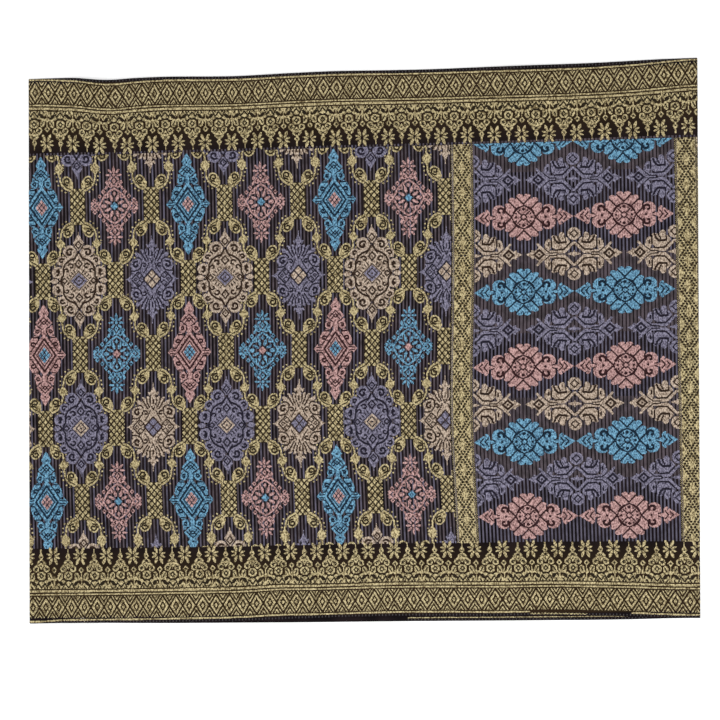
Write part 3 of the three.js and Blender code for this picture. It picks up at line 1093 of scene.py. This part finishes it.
def ridgeMesh(name, runs, shape, yarn):
    across, begin, finish, pitch = runs.T
    count = len(runs)
    side = pitch / 2 * shape["cover"]
    crest = shape["crest"] + rng.uniform(-1, 1, count) * shape["unevenCrest"]
    shift = rng.uniform(-1, 1, count) * shape["unevenSide"] * pitch
    short = shape.get("short", 0)
    begin = begin + short + rng.uniform(-1, 1, count) * shape["unevenEnd"]
    finish = finish - short + rng.uniform(-1, 1, count) * shape["unevenEnd"]
    sides = np.stack([across - side, across + shift, across + side], -1)
    proud = np.stack([crest * 0 + shape["edge"], crest, crest * 0 + shape["edge"]], -1)
    low = layCloth(sides, np.clip(begin, 0, cloth["height"])[:, None], proud)
    high = layCloth(sides, np.clip(finish, 0, cloth["height"])[:, None], proud)
    points = np.concatenate([low, high], axis=1).reshape(-1, 3)
    first = np.arange(count)[:, None] * 6
    quads = (first[:, :, None] + np.array([[0, 1, 4, 3], [1, 2, 5, 4]])[None]).reshape(-1, 4)
    if shape["crest"] < 0:
        quads = quads[:, ::-1]
    return buildMesh(name, points, quads, yarn)


wholeReach = (-math.inf, math.inf)
hemBand = (0, setOut["borderTop"])
bodyBand = (setOut["borderTop"], cloth["height"] - setOut["borderTop"])
topBand = (cloth["height"] - setOut["borderTop"], cloth["height"])
stripFrom = bodyEdge + setOut["stripGap"] / 2
frontCharts, backCharts = charts[:1], charts[1:]


def addFloats(name, yarn, chartList, ups=wholeReach, sides=wholeReach, shape=goldShape):
    runs = np.concatenate([findRuns(chart, codes[yarn], ups, sides) for chart in chartList])
    if len(runs):
        piece = ridgeMesh(name, runs, shape, yarn)
        print(name, "floats:", len(runs))


addFloats("hem_border_gold", "gold", frontCharts, hemBand)
addFloats("top_border_gold", "gold", frontCharts, topBand)
addFloats("vine_gold", "gold", frontCharts, bodyBand, (-math.inf, stripFrom))
addFloats("strip_gold", "gold", frontCharts, bodyBand, (stripFrom, math.inf))
for yarn in gemYarns:
    addFloats("gems_" + yarn, yarn, frontCharts, shape=gemShape)
addFloats("back_border_gold", "gold", backCharts, hemBand)
addFloats("back_top_border_gold", "gold", backCharts, topBand)
addFloats("back_vine_gold", "gold", backCharts, bodyBand)
for yarn in gemYarns:
    addFloats("back_gems_" + yarn, yarn, backCharts, shape=gemShape)
    addFloats("cuts_" + yarn, yarn + "Deep", charts, shape=cutShape)
addFloats("cuts_gold", "goldDeep", charts, shape=cutShape)


# The ground's own ribs between the borders, and the light ticks along both selvages

ribs = {
    "pitch": 5.3, "length": 24.0, "from": 112.0,
    "greyEvery": 3,  # of the body's ribs
    "width": {"body": 2.3, "greyHead": 2.3, "brownHead": 3.6},
    "shape": {**evenShape, "edge": 0.3, "crest": 0.39, "unevenCrest": 0.01, "unevenSide": 0.05},
}
ticks = {
    "pitch": 5.0, "width": 1.1, "from": 0.9, "to": 3.7,
    "shape": {
        "edge": 0.3, "crest": 0.4, "unevenCrest": 0.02, "unevenSide": 0.1, "unevenEnd": 0.4, "cover": 1,
    },
}


def makeRibs():
    # the weft's ribs are greyer beside the lilac and pink rows of the head panel and browner elsewhere
    across = np.arange(tubeReach[0], tubeReach[1], ribs["pitch"])
    top = cloth["height"] - ribs["from"]
    steps = int(round((top - ribs["from"]) / ribs["length"]))
    marks = np.linspace(ribs["from"], top, steps + 1)
    place, number = np.meshgrid(across, np.arange(steps), indexing="ij")
    place, number = place.ravel(), number.ravel()
    height = (marks[number] + marks[number + 1]) / 2 - middleUp
    inHead = (place > headFrom) & (place < headTo)
    greyBand = (height - (setOut["fanRow"] - setOut["headPitch"] / 2)) % (2 * setOut["headPitch"])
    everyThird = (place / ribs["pitch"]).astype(int) % ribs["greyEvery"] == 0
    grey = np.where(inHead, greyBand < setOut["headPitch"], everyThird)
    width = np.where(grey, ribs["width"]["greyHead"], ribs["width"]["brownHead"])
    width = np.where(inHead, width, ribs["width"]["body"])
    runs = np.stack([place, marks[number], marks[number + 1], width], -1)
    return [
        ridgeMesh("grey_ribs", runs[grey], ribs["shape"], "rib"),
        ridgeMesh("brown_ribs", runs[~grey], ribs["shape"], "ribBrown"),
    ]


def makeTicks():
    across = np.arange(tubeReach[0], tubeReach[1], ticks["pitch"])
    low = np.stack([across, across * 0 + ticks["from"], across * 0 + ticks["to"]], -1)
    high = np.stack([across, cloth["height"] - low[:, 2], cloth["height"] - low[:, 1]], -1)
    runs = np.concatenate([low, high])
    runs = np.concatenate([runs, np.full((len(runs), 1), ticks["width"])], -1)
    return ridgeMesh("selvage_ticks", runs, ticks["shape"], "tick")


# The inside of the back layer, which shows below the front's hem: a gold line and its ticks in reverse
reverse = {
    "from": 66.0, "to": 420.0, "linePitch": 1.25, "line": (4.5, 5.7), "tickPitch": 5.0, "tick": (0.8, 3.4),
    "lineShape": {"edge": -0.3, "crest": -0.42, "unevenCrest": 0.02, "unevenSide": 0.1, "unevenEnd": 0.3,
                  "cover": 0.98},
}


def makeReverse():
    pieces = []
    face = cloth["rightFold"][0] - cloth["foldRoom"]
    arc = math.pi * (cloth["frontLevel"] - cloth["backLevel"]) / 2
    for name, pitch, band, width, yarn in (
        ("reverse_gold", reverse["linePitch"], reverse["line"], reverse["linePitch"], "gold"),
        ("reverse_ticks", reverse["tickPitch"], reverse["tick"], ticks["width"], "tick"),
    ):
        x = np.arange(reverse["from"], reverse["to"], pitch)
        across = 2 * face + arc - x
        runs = np.stack([across, across * 0 + band[0], across * 0 + band[1], across * 0 + width], -1)
        pieces.append(ridgeMesh(name, runs, reverse["lineShape"], yarn))
    return pieces


ribPieces = makeRibs() + makeReverse()
tickPiece = makeTicks()
print("ribs and ticks done")


# Sewing: stitches across the seam's groove, and a loose end of thread at the hem

sewing = {"pitch": 2.6, "radius": 0.14, "length": 1.5, "level": 1.3, "sides": 6, "fromHem": 2, "fromTop": 1}
looseEnd = {
    "radius": 0.3, "sides": 6,
    "bend": [(-427.6, 5.4, 4.2), (-425, 6.4, 4.4), (-423.4, 7.4, 4.4), (-422.4, 5.6, 4.3), (-421.6, 2, 4.2),
             (-420.6, -1.4, 3.8)],
}


def tube(points, radius, sides):
    rings = []
    for number, point in enumerate(points):
        before = points[max(number - 1, 0)]
        after = points[min(number + 1, len(points) - 1)]
        along = (Vector(after) - Vector(before)).normalized()
        across = along.orthogonal().normalized()
        beside = along.cross(across)
        for step in range(sides):
            angle = 2 * math.pi * step / sides
            rings.append(Vector(point) + (across * math.cos(angle) + beside * math.sin(angle)) * radius)
    quads = []
    for ring in range(len(points) - 1):
        for step in range(sides):
            nextStep = (step + 1) % sides
            quads.append((ring * sides + step, ring * sides + nextStep,
                          (ring + 1) * sides + nextStep, (ring + 1) * sides + step))
    return rings, quads


def makeStitches():
    points = []
    quads = []
    for up in np.arange(sewing["fromHem"], cloth["height"] - sewing["fromTop"], sewing["pitch"]):
        share = up / cloth["height"]
        seam = leaning(cloth["seamLine"], share)
        y = layCloth(np.array(tubeEnd(np.array(share), -1)[2]), np.array(up), np.array(0.0))[1] / mm
        ends = [(seam + side * sewing["length"] / 2, y, sewing["level"]) for side in (-1, 1)]
        ring, faces = tube(ends, sewing["radius"], sewing["sides"])
        quads += [tuple(index + len(points) for index in face) for face in faces]
        points += ring
    return buildMesh("seam_stitches", np.array(points) * mm, np.array(quads), "sewing")


def makeLooseEnd():
    # a pale end of thread lying over the front's hem above the seam
    points = [(x, y - cloth["height"] / 2, z) for x, y, z in looseEnd["bend"]]
    ring, faces = tube(points, looseEnd["radius"], looseEnd["sides"])
    return buildMesh("loose_thread", np.array(ring) * mm, np.array(faces), "looseThread")


stitchPiece = makeStitches()
endPiece = makeLooseEnd()


# Studio: a pale floor, soft light from above and a camera that looks almost straight down

studio = {
    "floorSize": 9.0,
    "floorLevel": -0.0004,
    "floorFinish": {"Roughness": 0.9, "Specular IOR Level": 0.1},
    "floorTint": linear(250, 250, 250),
    "worldTint": (1.0, 1.0, 1.0),
    "worldPower": 0.62,
    "lights": [  # place, size, watts
        ((-1.3, 1.5, 2.6), 2.2, 27),
        ((1.6, 0.8, 2.8), 2.4, 22),
        ((0.2, -1.5, 2.3), 2.2, 49),
    ],
    "lens": 50.0,
    "sensor": 36.0,
    "distance": 1.490,
    "nearClip": 0.05,
    "target": (0.0016, -0.023, 0.003),
    "slant": 2.49,  # degrees that the camera leans round the cloth's upright, its right side nearer
    "turn": 1.11,  # degrees that the cloth is turned in the picture
}


def makeStudio():
    bpy.ops.mesh.primitive_plane_add(size=studio["floorSize"], location=(0, 0, studio["floorLevel"]))
    floor = bpy.context.object
    floor.name = "floor"
    paint = bpy.data.materials.new("floor_paint")
    paint.use_nodes = True
    shader = paint.node_tree.nodes["Principled BSDF"]
    setValues(shader, {"Base Color": (*studio["floorTint"], 1), **studio["floorFinish"]})
    floor.data.materials.append(paint)
    world = bpy.data.worlds.new("studio")
    bpy.context.scene.world = world
    world.use_nodes = True
    sky = world.node_tree.nodes["Background"]
    setValues(sky, {"Color": (*studio["worldTint"], 1), "Strength": studio["worldPower"]})
    for number, (place, size, watts) in enumerate(studio["lights"]):
        lamp = bpy.data.lights.new("softbox_%d" % number, "AREA")
        lamp.size = size
        lamp.energy = watts
        holder = bpy.data.objects.new(lamp.name, lamp)
        holder.location = place
        holder.rotation_euler = (Vector((0, 0, 0)) - Vector(place)).to_track_quat("-Z", "Y").to_euler()
        bpy.context.scene.collection.objects.link(holder)
    bpy.context.scene.view_settings.view_transform = "Standard"


def makeCamera():
    lens = bpy.data.cameras.new("camera")
    lens.lens = studio["lens"]
    lens.sensor_width = studio["sensor"]
    lens.clip_start = studio["nearClip"]
    holder = bpy.data.objects.new("camera", lens)
    slant, turn = math.radians(studio["slant"]), math.radians(studio["turn"])
    right = Vector((math.cos(turn) * math.cos(slant), -math.sin(turn) * math.cos(slant), -math.sin(slant)))
    above = Vector((math.sin(turn), math.cos(turn), 0))
    back = right.cross(above)
    place = Vector(studio["target"]) + back * studio["distance"]
    holder.matrix_world = Matrix((
        (right.x, above.x, back.x, place.x),
        (right.y, above.y, back.y, place.y),
        (right.z, above.z, back.z, place.z),
        (0, 0, 0, 1),
    ))
    bpy.context.scene.collection.objects.link(holder)
    bpy.context.scene.camera = holder


makeStudio()
makeCamera()
print("studio ready")
